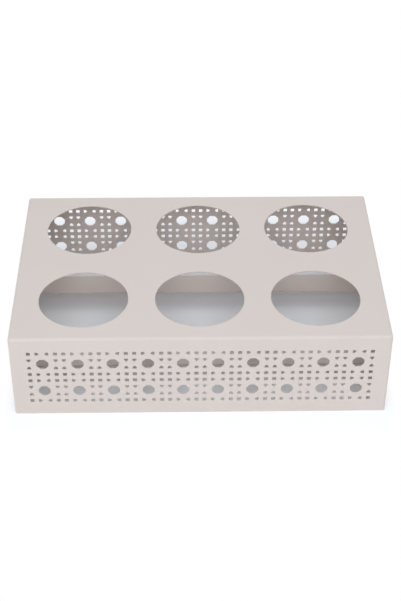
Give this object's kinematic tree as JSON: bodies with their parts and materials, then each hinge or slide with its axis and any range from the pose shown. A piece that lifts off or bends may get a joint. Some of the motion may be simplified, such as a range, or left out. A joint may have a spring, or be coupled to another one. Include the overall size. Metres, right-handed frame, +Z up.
{
  "type": "bottle caddy",
  "caption": "Low sheet-steel box that holds bottles upright: round holes in its top, cane-work cut-outs front and rear, an open base and inner rails for the bottles to stand on.",
  "frame": {"origin": "on the table, under the middle of the box", "axes": "+X along the length, +Y to the rear, +Z up"},
  "size_m": [0.3334, 0.221, 0.0865],
  "materials": {
    "powder_coat": "matte cream powder coat on sheet steel"
  },
  "bodies": {
    "root": {"top_plate": "powder_coat", "front_panel": "powder_coat", "rear_panel": "powder_coat", "left_end": "powder_coat", "right_end": "powder_coat", "front_rail": "powder_coat", "rear_rail": "powder_coat"}
  },
  "joints": []
}
